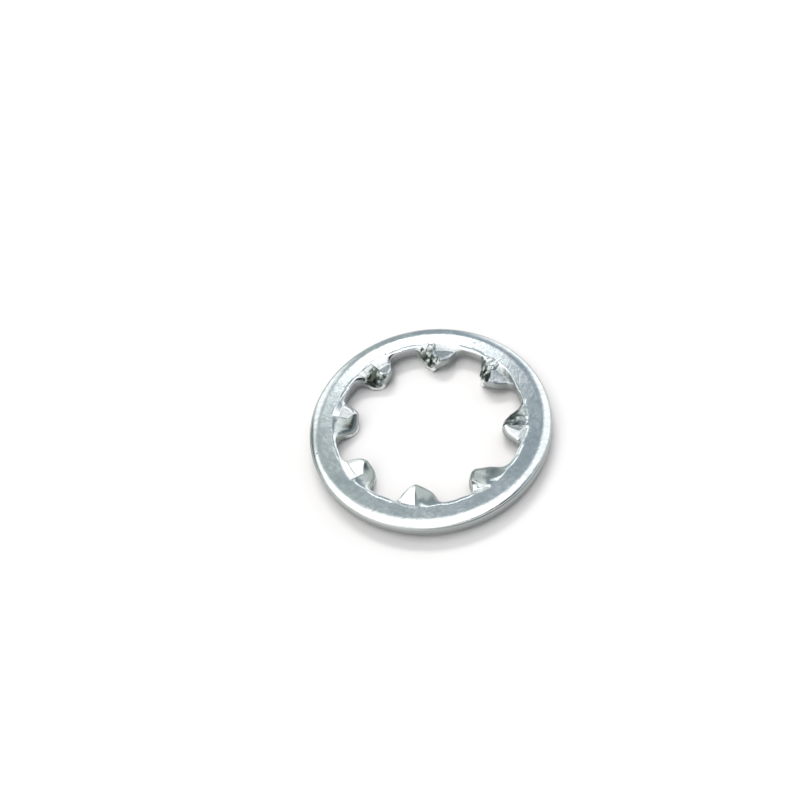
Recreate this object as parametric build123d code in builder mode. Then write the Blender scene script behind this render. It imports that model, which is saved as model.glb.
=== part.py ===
from build123d import *
import os
from math import cos, hypot, radians, sin, tan

# Internal-tooth lock washer: a flat ring of spring steel whose teeth are twisted by a press, so
# that one corner of each tip stands up and the other down. One tooth is built with its sector of
# the ring, pointing to the centre from +X, with the ring's upper face at Z = 0.

# ---- Ring -----------------------------------------------------------------
outside_diameter = 17.8      # over the ring
hole_diameter = 10.8         # clear circle inside the tips of the teeth
thickness = 0.9              # of the strip
outer_roll_width = 0.85      # radial width of the rounded top edge left by blanking
outer_roll_depth = 0.28      # how far that rounded edge drops
inner_roll_width = 0.25      # the smaller rounded edge round the bore
inner_roll_depth = 0.12

# ---- Teeth ----------------------------------------------------------------
tooth_count = 8
tooth_projection = 1.55      # from the ring's bore to the tip
tip_width = 1.5              # end of a tooth, along its slope
tip_corner_radius = 0.3      # between the tip and a flank
flank_angle = 30             # each flank from the tooth's centre line
root_radius = 0.5            # between a flank and the bore
twist_angle = 40             # slope of the tip; the clockwise side goes up
tip_lean = 37                # of the flanks at the tip, out of the vertical
root_lean = 8                # of the flanks at the root
tip_top_drop = 0.18          # the tip's upper face below the ring's, on the tooth's centre line
tip_bottom_drop = 0.1        # the same for the lower face

# ---- Press marks at the root of a tooth -----------------------------------
bend_reach = 0.33            # the bend bites this far into the ring, behind the bore
bend_width = 4.2             # chord of the bend's arc, where it runs out at the bore
bulge = 0.04                 # the pressed root stands out this much under the ring
crease_slope = 31            # from the crease down into the valley, on the clockwise side
valley_depth = 0.35          # below the ring's upper face
valley_rise = 21             # slope from the valley up to the tip's raised corner
valley_overlap = 0.25        # the valley's near wall is this far past the tooth's centre line
valley_wall_angle = 0        # of that wall, from the tooth's centre line
valley_wall_lean = 30        # of that wall, out of the vertical

# ---- Room round the shapes that are joined or cut away --------------------
weld = 0.015                 # the tooth's root fillets end this far inside the ring
root_cover = 0.16            # ring left between the tooth's own stock and the bend's arc
spare = 0.1                  # stock above and below the twisted tooth
overrun = 0.3                # of the cuts, past the bend and past the tip

outside_radius = outside_diameter / 2
tip_radius = hole_diameter / 2
bore_radius = tip_radius + tooth_projection
bend_radius = bore_radius + bend_reach
tooth_length = bend_radius - tip_radius
twist = tan(radians(twist_angle))

# The rounded top edges leave a flat between them, and the root fillets leave most of the flank.
ring_width = outside_radius - bore_radius
outer_roll = min(outer_roll_width, 0.8 * (ring_width - inner_roll_width))
root_fillet = min(root_radius, 0.4 * tooth_projection)

# The bend leaves the ring along an arc that meets the bore's edge on both sides of the tooth.
bend_sagitta = bend_radius - (bore_radius**2 - bend_width**2 / 4) ** 0.5
bend_arc = (bend_width**2 / 4 + bend_sagitta**2) / (2 * bend_sagitta)
bend_centre = bend_radius - bend_arc


def reach(x, across):
    """How far a point is along the tooth: 0 on the bend's arc, 1 at the tip."""
    return (bend_arc - hypot(across, x - bend_centre)) / tooth_length


def upper_face(x, across):
    """Height of the tooth's upper face, before the valley is pressed into it."""
    along = reach(x, across)
    lift = across * twist * abs(along) ** 1.4
    if along < 0:
        # Past the bend the surface rises on both sides, clear of the ring.
        lift = abs(lift)
    return lift - tip_top_drop * along


def lower_face(x, across):
    """Height of the tooth's lower face."""
    along = max(reach(x, across), 0)
    return across * twist * along**2 - tip_bottom_drop * along - bulge - thickness


def space(face, limit):
    """The space between one face of the tooth and a level clear of the washer."""
    start = bend_radius + overrun
    end = tip_radius - overrun
    half = 0.62 * bend_width
    stations = [half * share for share in (-1, -0.72, -0.45, -0.22, 0, 0.22, 0.45, 0.72, 1)]
    with BuildPart() as result:
        for step in range(7):
            x = start + (end - start) * step / 6
            curve = [(across, face(x, across)) for across in stations]
            with BuildSketch(Plane((x, 0, 0), x_dir=(0, -1, 0), z_dir=(-1, 0, 0))):
                with BuildLine():
                    Spline(*curve)
                    Polyline(curve[-1], (half, limit), (-half, limit), curve[0])
                make_face()
        loft()
    return result.part


# ---- The tooth's stock: its plan, with flanks that lean with the twist -----
axis_drop = (tip_top_drop + thickness + tip_bottom_drop + bulge) / 2
stock_reach = (tip_width * sin(radians(twist_angle)) + thickness * cos(radians(twist_angle))) / 2
stock_levels = (stock_reach + spare - axis_drop, -stock_reach - spare - axis_drop)
flank_end = bore_radius - root_fillet
root_half_width = tip_width / 2 + (flank_end - tip_radius) * tan(radians(flank_angle))


def flank(z, side):
    """Plan of one flank at a height: tip corner, then the root fillet's start, middle and end."""
    tip = side * tip_width / 2 / cos(radians(tip_lean)) - (z + axis_drop) * tan(radians(tip_lean))
    root = side * root_half_width - (z + thickness / 2) * tan(radians(root_lean))
    corner = Vector(tip_radius, tip)
    run = Vector(flank_end - tip_radius, root - tip).normalized()
    outwards = Vector(-run.Y, run.X) * side
    # The fillet's centre is one radius from the flank, and one radius inside the bore's wall.
    base = corner + outwards * root_fillet
    circle = flank_end + weld
    along = base.dot(run)
    distance = (along**2 + circle**2 - base.length**2) ** 0.5 - along
    centre = base + run * distance
    start = corner + run * distance
    end = centre * ((circle + root_fillet) / circle)
    middle = centre + ((start + end) * 0.5 - centre).normalized() * root_fillet
    return corner, start, middle, end


flank_starts = [flank(z, side)[:2] for z in stock_levels for side in (-1, 1)]
shortest_flank = min((start - corner).length for corner, start in flank_starts)
corner_fillet = min(tip_corner_radius, 0.5 * shortest_flank)

with BuildPart() as tooth_stock:
    for z in stock_levels:
        low, high = flank(z, -1), flank(z, 1)
        with BuildSketch(Plane((0, 0, z), x_dir=(1, 0, 0), z_dir=(0, 0, -1))):
            with BuildLine():
                FilletPolyline(low[1], low[0], high[0], high[1], radius=corner_fillet)
                ThreePointArc(*high[1:])
                ThreePointArc(high[3], (bend_radius - root_cover, 0), low[3])
                ThreePointArc(low[3], low[2], low[1])
            make_face()
    loft(ruled=True)

# ---- The valley: pressed in on the clockwise side, from the crease inwards --
crease_run = 1 / tan(radians(crease_slope))
wall_angle, wall_lean = radians(valley_wall_angle), radians(valley_wall_lean)
valley_top = 2 * thickness
valley_floor = Plane(
    (bend_radius - valley_depth * crease_run, 0, -valley_depth),
    x_dir=(0, 1, 0),
    z_dir=(sin(radians(valley_rise)), 0, cos(radians(valley_rise))),
)
valley_wall = Plane(
    (bend_radius, valley_overlap, 0),
    x_dir=(-cos(wall_angle), -sin(wall_angle), 0),
    z_dir=(sin(wall_angle) * cos(wall_lean), -cos(wall_angle) * cos(wall_lean), sin(wall_lean)),
)
with BuildPart() as valley:
    with Locations((bend_centre, 0, -valley_depth)):
        Cone(
            bend_arc - valley_depth * crease_run,
            bend_arc + valley_top * crease_run,
            valley_depth + valley_top,
            align=(Align.CENTER, Align.CENTER, Align.MIN),
        )
    split(bisect_by=valley_floor, keep=Keep.TOP)
    split(bisect_by=valley_wall, keep=Keep.TOP)

# ---- One tooth in its sector of the ring -----------------------------------
with BuildPart() as sector:
    with BuildSketch(Plane.XZ.rotated((0, 0, -180 / tooth_count))):
        with BuildLine():
            Line((bore_radius, -thickness), (outside_radius, -thickness))
            Line((outside_radius, -thickness), (outside_radius, -outer_roll_depth))
            EllipticalCenterArc(
                (outside_radius - outer_roll, -outer_roll_depth),
                outer_roll, outer_roll_depth, start_angle=0, arc_size=90,
            )
            Line((outside_radius - outer_roll, 0), (bore_radius + inner_roll_width, 0))
            EllipticalCenterArc(
                (bore_radius + inner_roll_width, -inner_roll_depth),
                inner_roll_width, inner_roll_depth, start_angle=90, arc_size=90,
            )
            Line((bore_radius, -inner_roll_depth), (bore_radius, -thickness))
        make_face()
    revolve(axis=Axis.Z, revolution_arc=360 / tooth_count)
    add(tooth_stock.part)
    add(space(upper_face, 2 * thickness), mode=Mode.SUBTRACT)
    add(space(lower_face, -3 * thickness), mode=Mode.SUBTRACT)
    add(valley.part, mode=Mode.SUBTRACT)

# ---- The whole washer, standing on its teeth's lowest corners at Z = 0 ------
lowest = min(edge.bounding_box().min.Z for edge in sector.edges())
with BuildPart() as lock_washer:
    with Locations((0, 0, -lowest)):
        with PolarLocations(0, tooth_count):
            add(sector.part)

os.makedirs("parts", exist_ok=True)
lock_washer.part.label = "lock_washer"
export_step(lock_washer.part, "parts/lock_washer.step")
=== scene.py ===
import math
from collections import namedtuple

import bmesh
import bpy
from mathutils import Matrix, Vector, noise


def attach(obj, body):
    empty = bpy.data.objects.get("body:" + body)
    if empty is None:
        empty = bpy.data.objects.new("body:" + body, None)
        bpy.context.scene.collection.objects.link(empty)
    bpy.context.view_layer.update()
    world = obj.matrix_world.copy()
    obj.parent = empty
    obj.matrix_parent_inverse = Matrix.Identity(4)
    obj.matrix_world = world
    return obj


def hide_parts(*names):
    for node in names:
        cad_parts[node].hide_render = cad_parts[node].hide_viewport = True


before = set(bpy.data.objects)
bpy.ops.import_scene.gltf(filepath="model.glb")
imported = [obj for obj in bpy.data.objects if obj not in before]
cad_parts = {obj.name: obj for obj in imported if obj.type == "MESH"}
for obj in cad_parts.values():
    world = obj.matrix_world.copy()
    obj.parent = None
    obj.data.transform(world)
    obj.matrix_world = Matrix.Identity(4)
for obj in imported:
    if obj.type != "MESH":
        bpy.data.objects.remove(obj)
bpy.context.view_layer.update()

bl_info = {
    "name": "Toothed lock washer",
    "version": (1, 0, 0),
    "blender": (4, 5, 0),
    "location": "View3D > Sidebar > Washer",
    "description": "A stamped internal-tooth lock washer and the table it lies on",
    "category": "Add Mesh",
}

MM = 0.001
NODE = "lock_washer"

# How the press caught a tooth: how far the valley's near wall is shifted across the tooth
# (millimetres), that wall's angle and the slope down from the crease (degrees), and how torn the
# tooth is (0 to 1).
PressMark = namedtuple("PressMark", "shift angle slope torn")

# From the tooth on +X onwards, anticlockwise.
PRESS_MARKS = (
    PressMark(-0.3, -6, 34, 1),
    PressMark(-0.3, -6, 34, 0.9),
    PressMark(0.05, 4, 23, 0.6),
    PressMark(0.12, -10, 40, 0.08),
    PressMark(-0.3, -8, 31, 0.1),
    PressMark(0, 12, 50, 0),
    PressMark(0.33, 36, 42, 0.1),
    PressMark(0.42, 0, 34, 0.4),
)


# ---- What a user would change ------------------------------------------------
def length(name, description, millimetres):
    return bpy.props.FloatProperty(
        name=name, description=description, default=millimetres * MM,
        min=0.0, precision=5, unit="LENGTH", subtype="DISTANCE",
    )


def angle(name, description, degrees):
    return bpy.props.FloatProperty(
        name=name, description=description, default=math.radians(degrees),
        unit="ROTATION", subtype="ANGLE",
    )


def colour(name, description, value):
    return bpy.props.FloatVectorProperty(
        name=name, description=description, default=value, size=3,
        min=0.0, max=1.0, subtype="COLOR",
    )


class WasherSizes(bpy.types.PropertyGroup):
    """Sizes of the stamped washer"""

    outside_diameter: length("Outside diameter", "Over the ring", 17.8)
    hole_diameter: length("Hole", "Clear circle inside the tips of the teeth", 10.8)
    tooth_projection: length("Tooth", "From the ring's bore to the tip", 1.55)
    ring_top: length("Ring height", "Of the ring's upper face, over the table it lies on", 1.35)
    thickness: length("Thickness", "Of the strip", 0.9)
    tooth_count: bpy.props.IntProperty(
        name="Teeth", description="Number of teeth", default=8, min=3,
    )
    outer_roll_width: length("Outer roll", "Width of the rounded outer top edge", 0.85)
    outer_roll_depth: length("Outer drop", "How far that edge drops", 0.28)
    inner_roll_width: length("Inner roll", "Width of the rounded edge round the bore", 0.36)
    inner_roll_depth: length("Inner drop", "How far that edge drops", 0.12)
    tip_roll_width: length("Tip roll", "Width of the rounded edge at a tip", 0.36)
    tip_roll_depth: length("Tip roll drop", "How far that edge drops", 0.24)
    low_roll_depth: length("Low roll drop", "The same on the side of a tooth that goes down", 0.42)
    tip_width: length("Tip", "End of a tooth, along its slope", 1.5)
    tip_corner_radius: length("Tip corner", "Between the tip and a flank", 0.42)
    root_radius: length("Root", "Between a flank and the bore", 0.5)
    flank_angle: angle("Flank", "Of each flank, from the tooth's centre line", 30)
    twist_angle: angle("Twist", "Slope of the tip", 40)
    tip_lean: angle("Tip lean", "Of the flanks at the tip, out of the vertical", 37)
    root_lean: angle("Root lean", "Of the flanks at the root", 8)
    tip_top_drop: length("Upper drop", "Of the tip's upper face below the ring's", 0.18)
    tip_bottom_drop: length("Lower drop", "Of the tip's lower face", 0.1)
    bend_reach: length("Bend", "How far the bend bites into the ring", 0.33)
    bend_width: length("Bend width", "Chord of the bend's arc at the bore", 4.2)
    bulge: length("Bulge", "Of the pressed root under the ring", 0.04)
    valley_depth: length("Valley", "Below the ring's upper face", 0.35)
    corner_height: length("Raised corner", "Of the tip, over the ring", 0.14)
    valley_wall_lean: angle("Wall lean", "Of the valley's near wall, out of the vertical", 22)


class WasherColours(bpy.types.PropertyGroup):
    """Colours of the plating and of the table"""

    zinc: colour("Zinc", "Of the flats, between the clouds", (0.64, 0.69, 0.71))
    cloud: colour("Clouds", "Of the pale clouds on the flats", (0.74, 0.78, 0.79))
    mottling: colour("Mottling", "Of the fine darker mottling", (0.46, 0.50, 0.52))
    valley: colour("Valley", "Of a burnished press mark", (0.76, 0.79, 0.80))
    torn_valley: colour("Torn valley", "Of a press mark on a torn tooth", (0.34, 0.38, 0.40))
    bend: colour("Bend", "Where a tooth leaves the ring", (0.38, 0.42, 0.41))
    strained: colour("Strained face", "Of a tooth's stretched half", (0.31, 0.35, 0.34))
    # Painted shade and painted highlights: dark and bright spots on a torn tooth's stretched face
    # stand in for the shade in its hollows and the dark and bright reflections of its facets.
    dark_flake: colour("Dark flakes", "On a torn tooth", (0.05, 0.06, 0.05))
    bright_flake: colour("Bright flakes", "On a torn tooth", (0.85, 0.88, 0.87))
    wall: colour("Wall", "Of the strip's cut walls", (0.46, 0.485, 0.475))
    sheared: colour("Sheared wall", "On the low side of a tip", (0.95, 0.97, 0.96))
    # Painted shade: black spots in the sheared wall stand in for the shade in its pits.
    pit: colour("Pits", "In a sheared wall", (0.03, 0.03, 0.03))
    fracture: colour("Fracture", "Of the walls' rough lower half", (0.33, 0.35, 0.34))
    speck: colour("Specks", "Of the dark specks", (0.12, 0.13, 0.12))
    table: colour("Table", "Of the table top", (0.79, 0.78, 0.78))


# ---- Shader maths ----------------------------------------------------------------
class Value:
    """An output of a node, with arithmetic that adds Math nodes."""

    def __init__(self, graph, socket):
        self.graph = graph
        self.socket = socket

    def __add__(self, other):
        return self.graph.math("ADD", self, other)

    def __radd__(self, other):
        return self.graph.math("ADD", other, self)

    def __sub__(self, other):
        return self.graph.math("SUBTRACT", self, other)

    def __rsub__(self, other):
        return self.graph.math("SUBTRACT", other, self)

    def __mul__(self, other):
        return self.graph.math("MULTIPLY", self, other)

    def __rmul__(self, other):
        return self.graph.math("MULTIPLY", other, self)

    def __abs__(self):
        return self.graph.math("ABSOLUTE", self)


class Graph:
    """A node tree, filled by calls."""

    def __init__(self, tree):
        self.tree = tree

    def node(self, kind, settings=None, inputs=None, output=0):
        """Add a node: settings first, then its sockets' values or links. Returns one output."""
        node = self.tree.nodes.new(kind)
        for name, value in (settings or {}).items():
            setattr(node, name, value)
        for key, value in (inputs or {}).items():
            if isinstance(value, Value):
                self.tree.links.new(value.socket, node.inputs[key])
            else:
                node.inputs[key].default_value = value
        return Value(self, node.outputs[output])

    def math(self, operation, *values):
        return self.node("ShaderNodeMath", {"operation": operation}, dict(enumerate(values)))

    def dot(self, first, second):
        """How far two directions agree."""
        return self.node(
            "ShaderNodeVectorMath", {"operation": "DOT_PRODUCT"}, {0: first, 1: second},
            output="Value",
        )

    def smooth(self, value, start, end):
        """0 before start, 1 after end, and a soft step between them."""
        return self.node(
            "ShaderNodeMapRange", {"interpolation_type": "SMOOTHSTEP"},
            {"Value": value, "From Min": start, "From Max": end},
        )

    def mix(self, factor, first, second):
        """From the first colour to the second. A plain colour has three parts."""
        first, second = (
            side if isinstance(side, Value) else (*side, 1) for side in (first, second)
        )
        return self.node(
            "ShaderNodeMix", {"data_type": "RGBA"}, {0: factor, 6: first, 7: second}, output=2,
        )

    def feed(self, node, **links):
        """Link values to a node's sockets, with _ for the space in a socket's name."""
        for name, value in links.items():
            self.tree.links.new(value.socket, node.inputs[name.replace("_", " ")])


# ---- The washer's shape --------------------------------------------------------
# What each vertex tells the plating: how deep in the strip it is, whether it is on a wall, how far
# along a tooth, whether it is in the valley, how torn, and how far on the low side of a tip.
LAYERS = ("depth", "wall", "along", "valley", "torn", "low")
SPIN_STEPS = 110        # round one pitch
OUTLINE_STEPS = 96      # along the outline of one pitch


def clamp(value):
    return max(0, min(1, value))


def soft_max(first, second, round_off):
    """The larger of two heights, rounded where they meet."""
    blend = max(round_off - abs(first - second), 0) / round_off
    return max(first, second) + blend * blend * round_off / 4


class Stamping:
    """Turns a flat ring blank into the washer: teeth drawn inwards, then twisted.

    The blank's band, next to its bore, becomes the teeth and what bends with them. A tooth is
    worked out on +X, where x runs outwards and "across" runs clockwise. Heights are over the
    ring's upper face.
    """

    band_margin = 0.25 * MM         # from the bend out to the band's outer edge
    flat_share = 0.7                # of the band, before its rolled edge begins
    outer_flat_share = 0.45         # of the ring outside the band, before its rolled edge begins
    steep_share = 0.8               # of the same, before that edge is so steep that it is wall

    twist_growth = 1.4              # powers of the way along a tooth: of the upper face's twist,
    drop_growth = 1.6               # of its drop,
    lower_twist_growth = 2          # and of the lower face's twist
    bulge_growth = 6                # the bulge is full at a sixth of the way
    fold_round = 0.05 * MM          # where the valley's faces meet
    rim_round = 0.04 * MM           # where the valley meets the twisted face
    seat_round = 0.1 * MM           # where the low corner meets the table

    low_side = 0.6 * MM             # across a tip, to where its edge is fully rolled down
    upright_share = 0.8             # of the flank's lean that the low side's wall loses
    upright_reach = 0.8 * MM        # across a tooth, to where it has lost that
    lean_rounds = 5                 # the lean and the height depend on each other
    lean_step = 0.62

    crumple_size = 0.55 * MM        # of a torn face
    crumple_depth = 0.12 * MM
    crumple_crest = 0.4             # of that depth, over the face
    burnish_share = 0.8             # of the crumple, flattened in the valley
    torn_growth = 4                 # the tear is full at a quarter of the way along
    least_thickness = 0.15 * MM
    least_round = 0.1 * MM

    def __init__(self, sizes):
        for name in WasherSizes.__annotations__:
            setattr(self, name, getattr(sizes, name))
        self.outside = self.outside_diameter / 2
        self.tip = self.hole_diameter / 2
        self.bore = self.tip + self.tooth_projection
        self.bend = self.bore + self.bend_reach
        self.band = self.bend + self.band_margin
        self.pitch = 2 * math.pi / self.tooth_count
        sagitta = self.bend - math.sqrt(self.bore**2 - self.bend_width**2 / 4)
        self.arc = (self.bend_width**2 / 4 + sagitta**2) / (2 * sagitta)
        self.arc_centre = self.bend - self.arc
        self.reach_length = self.bend - self.tip
        self.axis_drop = (
            self.tip_top_drop + self.thickness + self.tip_bottom_drop + self.bulge
        ) / 2
        self.flank_end = self.bore - self.root_radius
        flank_length = self.flank_end - self.tip
        self.tip_half = self.tip_width / 2 / math.cos(self.tip_lean)
        self.root_half = self.tip_width / 2 + flank_length * math.tan(self.flank_angle)
        self.columns = self.outline_columns(OUTLINE_STEPS)

    def inside(self, x, across):
        """Distance from the flat washer's inner outline: positive inside the metal."""
        ring = math.hypot(x, across) - self.bore
        slope = (self.root_half - self.tip_half) / (self.flank_end - self.tip)
        flank = (self.tip_half + (x - self.tip) * slope - abs(across)) / math.hypot(1, slope)
        radius = self.tip_corner_radius
        corner = math.hypot(max(radius - x + self.tip, 0), max(radius - flank, 0))
        tooth = radius - corner + max(min(x - self.tip, flank) - radius, 0)
        root = self.root_radius
        fillet = math.hypot(max(root + ring, 0), max(root + tooth, 0))
        return fillet - max(root, min(-ring, -tooth))

    def outline_columns(self, count, rays=720, halvings=30):
        """Points along the inner outline of one pitch, evenly spaced."""
        points = []
        for step in range(rays + 1):
            theta = self.pitch * (step / rays - 0.5)
            low, high = self.tip * 0.9, self.bend + 0.5 * MM
            for _ in range(halvings):
                middle = (low + high) / 2
                if self.inside(middle * math.cos(theta), middle * math.sin(theta)) > 0:
                    high = middle
                else:
                    low = middle
            points.append(Vector((high * math.cos(theta), high * math.sin(theta))))
        travel = [0.0]
        for first, second in zip(points, points[1:]):
            travel.append(travel[-1] + (second - first).length)
        columns, index = [], 0
        for step in range(count + 1):
            target = travel[-1] * step / count
            while index < len(points) - 2 and travel[index + 1] < target:
                index += 1
            share = (target - travel[index]) / (travel[index + 1] - travel[index])
            columns.append(points[index].lerp(points[index + 1], share))
        return columns

    def column(self, turn):
        """Outline point at a share (0 to 1) of one pitch."""
        place = clamp(turn) * (len(self.columns) - 1)
        index = min(int(place), len(self.columns) - 2)
        return self.columns[index].lerp(self.columns[index + 1], place - index)

    def into(self, point):
        """Direction from a point of the outline into the metal."""
        step = 0.005 * MM
        x, across = point
        slope = Vector((
            self.inside(x + step, across) - self.inside(x - step, across),
            self.inside(x, across + step) - self.inside(x, across - step),
        ))
        return slope.normalized()

    def along(self, x, across):
        """How far from the bend (0) to the tip (1): negative outside the bend."""
        return (self.arc - math.hypot(across, x - self.arc_centre)) / self.reach_length

    def twisted(self, x, across):
        """Height of the upper face before the valley is pressed in."""
        along = max(self.along(x, across), 0)
        twist = across * math.tan(self.twist_angle) * along**self.twist_growth
        return twist - self.tip_top_drop * along**self.drop_growth

    def valley_floor(self, x, across, mark):
        """The valley's bottom: down from the crease, then up to the tip."""
        slope = math.tan(math.radians(mark.slope))
        crease = (math.hypot(across, x - self.arc_centre) - self.arc) * slope
        lowest = self.bend - self.valley_depth / slope
        rise = (self.corner_height + self.valley_depth) / (lowest - self.tip)
        return soft_max((lowest - x) * rise - self.valley_depth, crease, self.fold_round)

    def valley_wall(self, x, across, mark):
        """The valley's near wall, which stands across the tooth."""
        shift, turn = mark.shift * MM, math.radians(mark.angle)
        out = (x - self.bend) * math.sin(turn) + (across - shift) * math.cos(turn)
        return -out / math.tan(self.valley_wall_lean)

    def upper(self, x, across, mark):
        """Height of the upper face, and how much of the valley is in it."""
        if self.along(x, across) <= 0:
            return 0, 0
        twisted = self.twisted(x, across)
        floor, wall = self.valley_floor(x, across, mark), self.valley_wall(x, across, mark)
        valley = soft_max(floor, wall, self.fold_round)
        burnished = clamp(0.5 + (twisted - valley) / self.fold_round)
        return -soft_max(-twisted, -valley, self.rim_round), burnished

    def lower(self, x, across):
        """Height of the lower face, cut flat where it stands on the table."""
        along = max(self.along(x, across), 0)
        height = (
            across * math.tan(self.twist_angle) * along**self.lower_twist_growth
            - self.tip_bottom_drop * along - self.bulge * min(along * self.bulge_growth, 1)
            - self.thickness
        )
        return soft_max(height, -self.ring_top, self.seat_round)

    def leant(self, x, across, depth, drop, mark):
        """Where a point goes across the tooth, as the flanks lean with the twist."""
        share = min((x - self.tip) / (self.flank_end - self.tip), 1)
        fade = clamp((self.bend - x) / (self.bend - self.flank_end))
        lean = (1 - share) * math.tan(self.tip_lean) + share * math.tan(self.root_lean) * fade
        axis = (1 - share) * self.axis_drop + share * self.thickness / 2
        hang = 1 - self.upright_share * clamp(-across / self.upright_reach)
        moved = across
        for _ in range(self.lean_rounds):
            top = min(self.twisted(x, moved), self.valley_floor(x, moved, mark))
            height = top - drop + depth * hang * (self.lower(x, moved) - top + drop)
            moved += self.lean_step * (across - (height + axis) * lean - moved)
        return moved

    def pressed(self, x, across, depth, drop, tooth):
        """Place of a point: depth is 0 on the upper face and 1 on the lower one."""
        mark = PRESS_MARKS[tooth]
        across = self.leant(x, across, depth, drop, mark)
        top, burnished = self.upper(x, across, mark)
        torn = mark.torn * clamp(self.torn_growth * self.along(x, across))
        crumple = torn * (1 - self.burnish_share * burnished) * self.crumple_depth
        # Each tooth cuts the noise at its own height, so no two are crumpled alike.
        spot = Vector((x, across, 3 * tooth * MM)) / self.crumple_size
        top += crumple * (self.crumple_crest - abs(noise.noise(spot)) * 2)
        bottom = self.lower(x, across)
        top = soft_max(top - drop, bottom + self.least_thickness, self.least_round)
        height = (1 - depth) * top + depth * bottom
        if drop or depth:
            spot.z += height / self.crumple_size
            x += crumple * noise.noise(spot + Vector((5, 0, 0)))
            across += crumple * noise.noise(spot + Vector((0, 5, 0)))
        return x, across, height, burnished, torn

    def drawn_in(self, outline, outwards, share, drawn, low):
        """Plan of a point of the band and its drop: flat, then rolled over at the outline."""
        width = (1 - drawn) * self.inner_roll_width + drawn * self.tip_roll_width
        roll = (1 - drawn) * self.inner_roll_depth + drawn * self.tip_roll_depth
        roll += low * (self.low_roll_depth - roll)
        normal = self.into(outline)
        if share <= self.flat_share:
            start = Vector((self.band * math.cos(outwards), self.band * math.sin(outwards)))
            return start.lerp(outline + normal * width, share / self.flat_share), 0.0
        swing = (share - self.flat_share) / (1 - self.flat_share) * math.pi / 2
        return outline + normal * width * (1 - math.sin(swing)), roll * (1 - math.cos(swing))

    def outer(self, theta, share, depth):
        """The ring outside the band: its flat, its rounded top edge and its wall."""
        flat = self.outer_flat_share
        inner_flat = self.outside - self.outer_roll_width
        if share <= flat:
            radius = self.band + (inner_flat - self.band) * share / flat
            top = 0.0
        else:
            swing = (share - flat) / (1 - flat) * math.pi / 2
            radius = inner_flat + self.outer_roll_width * math.sin(swing)
            top = -self.outer_roll_depth * (1 - math.cos(swing))
        height = (1 - depth) * top - depth * self.thickness
        return Vector((radius * math.cos(theta), radius * math.sin(theta), height))

    def place(self, point):
        """Where a point of the ring blank goes, and what its layers hold."""
        radius, theta = math.hypot(point.x, point.y), math.atan2(point.y, point.x)
        depth = -point.z / self.thickness
        outer_share = (radius - self.band) / (self.outside - self.band)
        on_wall = outer_share > self.steep_share or 0.01 < depth < 0.99
        held = dict.fromkeys(LAYERS, 0) | {"depth": depth, "wall": int(on_wall)}
        if radius >= self.band - 1e-9:
            return self.outer(theta, outer_share, depth), held

        tooth = round(theta / self.pitch)
        turn = theta / self.pitch - tooth + 0.5
        outline = self.column(turn)
        share = (self.band - radius) / (self.band - self.bore)
        drawn = clamp((self.bore - outline.length) / self.tooth_projection)
        low = drawn * clamp(outline.y / self.low_side)
        plan, drop = self.drawn_in(outline, (turn - 0.5) * self.pitch, share, drawn, low)
        x, across, height, burnished, torn = self.pressed(
            plan.x, -plan.y, depth, drop, tooth % len(PRESS_MARKS),
        )
        held |= {
            "along": max(0, self.along(x, across)), "valley": burnished * (1 - depth),
            "torn": torn, "low": low,
        }
        return Matrix.Rotation(tooth * self.pitch, 3, "Z") @ Vector((x, -across, height)), held


def section(mesh, stamping):
    """The blank's section, from a few corners with their edges divided."""
    band, bore, out, low = stamping.band, stamping.bore, stamping.outside, -stamping.thickness
    corners = ((out, low), (out, 0), (band, 0), (bore, 0), (bore, low), (band, low))
    # Outer wall, upper face outside and in the band, bore, lower face in and outside the band.
    cuts = (4, 22, 44, 9, 14, 6)
    verts = [mesh.verts.new((x, 0, z)) for x, z in corners]
    edges = [mesh.edges.new(pair) for pair in zip(verts, verts[1:] + verts[:1])]
    for edge, count in zip(edges, cuts):
        bmesh.ops.subdivide_edges(mesh, edges=[edge], cuts=count)
    return list(mesh.verts) + list(mesh.edges)


def add_to_scene(name, mesh):
    """Make a finished bmesh an object."""
    data = bpy.data.meshes.new(name)
    mesh.to_mesh(data)
    mesh.free()
    piece = bpy.data.objects.new(name, data)
    bpy.context.scene.collection.objects.link(piece)
    return piece


def build_washer(sizes):
    """Spin the blank, stamp it and stand it on the table."""
    stamping = Stamping(sizes)
    mesh = bmesh.new()
    bmesh.ops.spin(
        mesh, geom=section(mesh, stamping), axis=(0, 0, 1), cent=(0, 0, 0), angle=2 * math.pi,
        steps=stamping.tooth_count * SPIN_STEPS, use_merge=True, use_duplicate=False,
    )
    layers = {name: mesh.verts.layers.float.new(name) for name in LAYERS}
    for vert in mesh.verts:
        vert.co, held = stamping.place(vert.co)
        for name, layer in layers.items():
            vert[layer] = held[name]
    lowest = min(vert.co.z for vert in mesh.verts)
    bmesh.ops.translate(mesh, verts=mesh.verts, vec=(0, 0, -lowest))
    bmesh.ops.recalc_face_normals(mesh, faces=mesh.faces)
    for face in mesh.faces:
        face.smooth = True
    return add_to_scene("washer", mesh)


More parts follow.
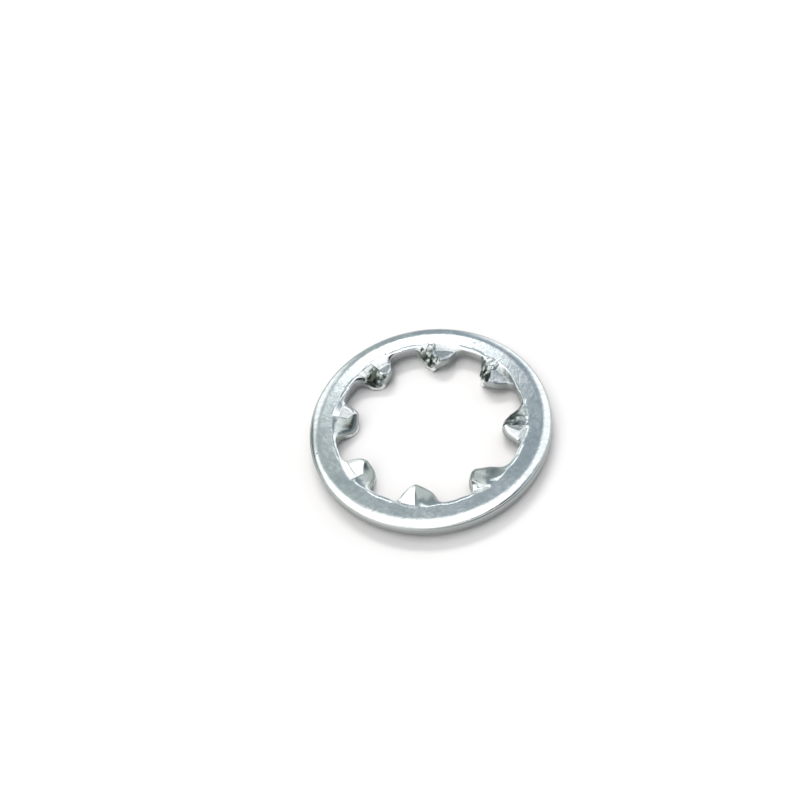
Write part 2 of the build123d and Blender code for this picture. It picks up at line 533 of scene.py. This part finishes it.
# ---- The plating -----------------------------------------------------------------
def zinc_plate(colours):
    """Bright zinc: cloudy flats, grey walls, burnished press marks, torn faces with painted shade
    and painted highlights, painted shade in the sheared walls' pits, and specks.
    """
    material = bpy.data.materials.new("zinc_plate")
    material.use_nodes = True
    graph = Graph(material.node_tree)
    shader = material.node_tree.nodes["Principled BSDF"]
    place = graph.node("ShaderNodeTexCoord", output="Object")

    def layer(name):
        return graph.node("ShaderNodeAttribute", {"attribute_name": name}, output="Fac")

    def texture(size, detail, roughness=0.5, stretch=(1, 1, 1), turn=(0, 0, 0)):
        """Noise with features of a size in millimetres."""
        spot = graph.node(
            "ShaderNodeMapping", inputs={0: place, "Rotation": turn, "Scale": stretch},
        )
        return graph.node("ShaderNodeTexNoise", inputs={
            "Vector": spot, "Scale": 1 / (size * MM), "Detail": detail, "Roughness": roughness,
        })

    depth, along, torn, low = layer("depth"), layer("along"), layer("torn"), layer("low")
    wall = graph.smooth(layer("wall"), 0.2, 0.8)
    valley = graph.smooth(layer("valley"), 0.3, 0.7)
    strained = graph.smooth(along, 0.1, 0.55) * (1 - valley)
    bent = graph.smooth(along, 0.02, 0.12) * (1 - valley)

    # Patterns, each with the size of its features in millimetres.
    cloud = texture(1.6, 3)
    mottle = texture(0.3, 4, 0.6)
    painted_spots = texture(0.7, 5, 0.55)
    grain = texture(0.11, 4, 0.65)
    ripped = texture(0.16, 5, 0.7, stretch=(1, 1, 0.35))
    streaks = texture(0.25, 3, 0.6, stretch=(1, 0.06, 1), turn=(0, 0, math.radians(35)))
    cells = graph.node(
        "ShaderNodeTexVoronoi", {"feature": "F1"},
        {"Vector": place, "Scale": 1 / (0.55 * MM), "Randomness": 1}, output="Distance",
    )
    dirty = graph.smooth(texture(0.9, 2), 0.53, 0.63)
    specks = (1 - graph.smooth(cells, 0.07, 0.14)) * dirty

    # What the plating shows where: the walls' two halves, torn valleys, and torn faces with
    # painted shade and painted highlights.
    sheared = wall * graph.smooth(low, 0.3, 0.6)
    fractured = graph.smooth(depth + (ripped - 0.5) * 0.5, 0.42, 0.55)
    fracture = wall * (1 - sheared) * fractured
    dull = valley * torn
    painted_spot_face = strained * graph.smooth(torn * 2, 0, 1)

    shade = graph.mix(graph.smooth(cloud, 0.35, 0.65), colours.zinc, colours.cloud)
    for share, tint in (
        (graph.smooth(mottle, 0.38, 0.62) * 0.35, colours.mottling),
        (valley, colours.valley),
        (dull * (0.5 + 0.5 * graph.smooth(grain, 0.35, 0.6)), colours.torn_valley),
        (bent * 0.55, colours.bend),
        (strained, colours.strained),
        # Painted shade and painted highlights: dark and bright spots on the torn, stretched face.
        (painted_spot_face * graph.smooth(painted_spots, 0.48, 0.52), colours.dark_flake),
        (painted_spot_face * (1 - graph.smooth(painted_spots, 0.40, 0.43)), colours.bright_flake),
        (wall, colours.wall),
        (sheared, colours.sheared),
        # Painted shade in the pits of the sheared wall.
        (sheared * graph.smooth(painted_spots, 0.62, 0.65), colours.pit),
        (fracture * 0.5, colours.fracture),
        (specks * 0.75, colours.speck),
    ):
        shade = graph.mix(share, shade, tint)

    # Roughness: polished flats, duller where the metal is strained, torn, cut or dirty.
    finish = 0.07 + 0.05 * cloud + 0.08 * graph.smooth(grain, 0.45, 0.75)
    finish = finish + strained * (0.13 - 0.08 * torn) + dull * 0.16
    finish = finish + wall * 0.26 - sheared * 0.1 + fracture * 0.12 + specks * 0.3

    # Relief: grain all over, hollows at the specks, and ripped metal on walls and torn faces.
    relief = 0.5 * grain + mottle * 0.6 + streaks * 0.15 - specks * 0.8
    relief = relief + ripped * (wall * 2.5 + strained * 0.5 + torn * 0.8) + grain * dull * 2
    bump = graph.node(
        "ShaderNodeBump", inputs={"Height": relief, "Strength": 0.5, "Distance": 0.02 * MM},
        output="Normal",
    )
    shader.inputs["Metallic"].default_value = 1
    graph.feed(shader, Base_Color=shade, Roughness=finish, Normal=bump)
    return material


# ---- The studio ------------------------------------------------------------------
BLUE_WALL = (0.39, 0.45, 0.50)
GREY_WALL = (0.50, 0.555, 0.55)
GREY_SIDE = 150                 # azimuth of the middle of the grey wall, in degrees
CEILING = (1.85, 1.82, 1.8)
CEILING_EDGE = (65, 67)         # degrees of elevation

# Soft patches of the studio, each over those before it: the azimuth of its middle, its width, its
# lower and upper edge and how soft its edges are, in degrees, and what light it sends.
PATCHES = (
    (8, 70, -5, 33, 8, (1.5, 1.5, 1.5)),            # pale wall to the right
    (50, 200, -90, 3, 2, (1.1, 1.1, 1.1)),          # the table beyond the washer
    (-110, 200, -90, 9, 4, (1.0, 1.0, 1.0)),        # the table on the near side
    (-175, 70, 8, 62, 6, (1.3, 1.3, 1.28)),         # pale wall to the left
    (6, 46, 30, 66, 4, (1.5, 1.5, 1.5)),            # slope of the ceiling over the right wall
    (116, 34, 5, 36, 5, (0.2, 0.23, 0.21)),         # dark doorway
    (87, 20, 14, 46, 4, (1.4, 1.4, 1.4)),           # window beside it
    (-80, 80, 44, 70, 3, (0.06, 0.045, 0.035)),     # brown shelf on the near side
    (142, 84, 42, 90, 4, CEILING),                  # ceiling light
    (60, 20, 45, 52, 1.5, (2.6, 2.6, 2.6)),         # light card
)

TABLE_REACH = 0.4               # metres, each way from the washer

LAMP_SIZE = (0.16, 0.0525)      # metres
LAMP_DISTANCE = 0.3
LAMP_DIRECTION = (59, 48.5)     # azimuth and elevation, in degrees
LAMP_ENERGY = 0.41
LAMP_COLOUR = (1, 0.97, 0.96)

# The camera circles an aim point under the middle of the ring's upper face. Its distance and that
# point's drop are in ring radii, its turn round the washer in degrees and the rest in radians.
RING_RADIUS = 8.9 * MM
RING_TOP = 1.35 * MM
AIM_DROP = 0.09418852
CAMERA_DISTANCE = 6.64977122
CAMERA_TURN = -30
CAMERA_ELEVATION = 0.96216392
CAMERA_PAN = 0.03019966
CAMERA_TILT = 0.03826401
CAMERA_ROLL = -0.18952984
LENS = 36                       # millimetres, on a sensor as wide


def facing(azimuth, elevation):
    """Direction towards an azimuth and an elevation in degrees."""
    azimuth, elevation = math.radians(azimuth), math.radians(elevation)
    return Vector((
        math.cos(elevation) * math.cos(azimuth),
        math.cos(elevation) * math.sin(azimuth),
        math.sin(elevation),
    ))


def patch(graph, direction, height, azimuth, width, low, high, soft):
    """Mask of a patch of the studio: width and edges in degrees."""
    ahead = graph.dot(direction, facing(azimuth, 0))
    aside = graph.dot(direction, facing(azimuth + 90, 0))
    turn = abs(graph.math("DEGREES", graph.math("ARCTAN2", aside, ahead)))
    side = 1 - graph.smooth(turn, width / 2 - soft, width / 2 + soft)
    over = graph.smooth(height, low - soft, low + soft)
    under = 1 - graph.smooth(height, high - soft, high + soft)
    return side * over * under


def light_studio():
    """The world: walls, a bright ceiling and the patches."""
    world = bpy.data.worlds.new("studio")
    world.use_nodes = True
    graph = Graph(world.node_tree)
    direction = graph.node("ShaderNodeTexCoord", output="Generated")
    upright = graph.node("ShaderNodeSeparateXYZ", inputs={0: direction}, output="Z")
    height = graph.math("DEGREES", graph.math("ARCSINE", upright))
    sideways = graph.dot(direction, facing(GREY_SIDE, 0))
    shade = graph.mix(graph.smooth(sideways, -0.3, 0.3), BLUE_WALL, GREY_WALL)
    shade = graph.mix(graph.smooth(height, *CEILING_EDGE), shade, CEILING)
    for *measures, light in PATCHES:
        shade = graph.mix(patch(graph, direction, height, *measures), shade, light)
    graph.feed(world.node_tree.nodes["Background"], Color=shade)
    bpy.context.scene.world = world


def lay_table(tint):
    """A plain table top under the washer."""
    mesh = bmesh.new()
    bmesh.ops.create_grid(mesh, x_segments=2, y_segments=2, size=TABLE_REACH)
    table = add_to_scene("table", mesh)
    material = bpy.data.materials.new("white_table")
    material.use_nodes = True
    shader = material.node_tree.nodes["Principled BSDF"]
    shader.inputs["Base Color"].default_value = (*tint, 1)
    shader.inputs["Roughness"].default_value = 0.6
    table.data.materials.append(material)


def hang_lamp():
    """A soft lamp for the shadows. The metal doesn't mirror it."""
    lamp = bpy.data.lights.new("key", "AREA")
    lamp.shape = "RECTANGLE"
    lamp.size, lamp.size_y = LAMP_SIZE
    lamp.energy = LAMP_ENERGY
    lamp.color = LAMP_COLOUR
    light = bpy.data.objects.new("key", lamp)
    light.visible_glossy = False
    light.location = LAMP_DISTANCE * facing(*LAMP_DIRECTION)
    light.rotation_euler = light.location.to_track_quat("Z", "Y").to_euler()
    bpy.context.scene.collection.objects.link(light)


def set_camera():
    """The camera looks down at the washer from the near side."""
    distance = CAMERA_DISTANCE * RING_RADIUS
    spot = Vector((
        0, -distance * math.cos(CAMERA_ELEVATION), distance * math.sin(CAMERA_ELEVATION),
    ))
    place = Matrix.Rotation(math.radians(CAMERA_TURN), 4, "Z") @ Matrix.Translation(spot)
    place.translation.z += RING_TOP - AIM_DROP * RING_RADIUS
    for turn, axis in (
        (math.pi / 2 - CAMERA_ELEVATION, "X"), (CAMERA_PAN, "Y"), (CAMERA_TILT, "X"),
        (CAMERA_ROLL, "Z"),
    ):
        place = place @ Matrix.Rotation(turn, 4, axis)
    lens = bpy.data.cameras.new("camera")
    lens.lens, lens.sensor_width, lens.clip_start = LENS, LENS, MM
    camera = bpy.data.objects.new("camera", lens)
    camera.matrix_world = place
    bpy.context.scene.collection.objects.link(camera)
    bpy.context.scene.camera = camera


# ---- Operators -------------------------------------------------------------------
class WASHER_OT_stamp(bpy.types.Operator):
    """Stamp the washer and give it its plating"""

    bl_idname = "washer.stamp"
    bl_label = "Stamp washer"

    def execute(self, context):
        piece = build_washer(context.scene.washer_sizes)
        piece.data.materials.append(zinc_plate(context.scene.washer_colours))
        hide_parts(NODE)
        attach(piece, "root")
        return {"FINISHED"}


class WASHER_OT_stage(bpy.types.Operator):
    """Lay the table, light the studio and set the camera"""

    bl_idname = "washer.stage"
    bl_label = "Set stage"

    def execute(self, context):
        lay_table(context.scene.washer_colours.table)
        light_studio()
        hang_lamp()
        set_camera()
        context.scene.view_settings.view_transform = "Standard"
        return {"FINISHED"}


class WASHER_PT_panel(bpy.types.Panel):
    """Lists the washer's operators, sizes and colours"""

    bl_label = "Toothed lock washer"
    bl_space_type = "VIEW_3D"
    bl_region_type = "UI"
    bl_category = "Washer"

    def draw(self, context):
        for operator in OPERATORS:
            self.layout.operator(operator.bl_idname)
        for group in (context.scene.washer_sizes, context.scene.washer_colours):
            for name in type(group).__annotations__:
                self.layout.prop(group, name)


OPERATORS = (WASHER_OT_stamp, WASHER_OT_stage)
CLASSES = (WasherSizes, WasherColours) + OPERATORS + (WASHER_PT_panel,)


def register():
    for cls in CLASSES:
        bpy.utils.register_class(cls)
    bpy.types.Scene.washer_sizes = bpy.props.PointerProperty(type=WasherSizes)
    bpy.types.Scene.washer_colours = bpy.props.PointerProperty(type=WasherColours)


def unregister():
    del bpy.types.Scene.washer_colours
    del bpy.types.Scene.washer_sizes
    for cls in reversed(CLASSES):
        bpy.utils.unregister_class(cls)


def main():
    register()
    bpy.ops.washer.stamp()
    bpy.ops.washer.stage()


if __name__ == "__main__":
    main()
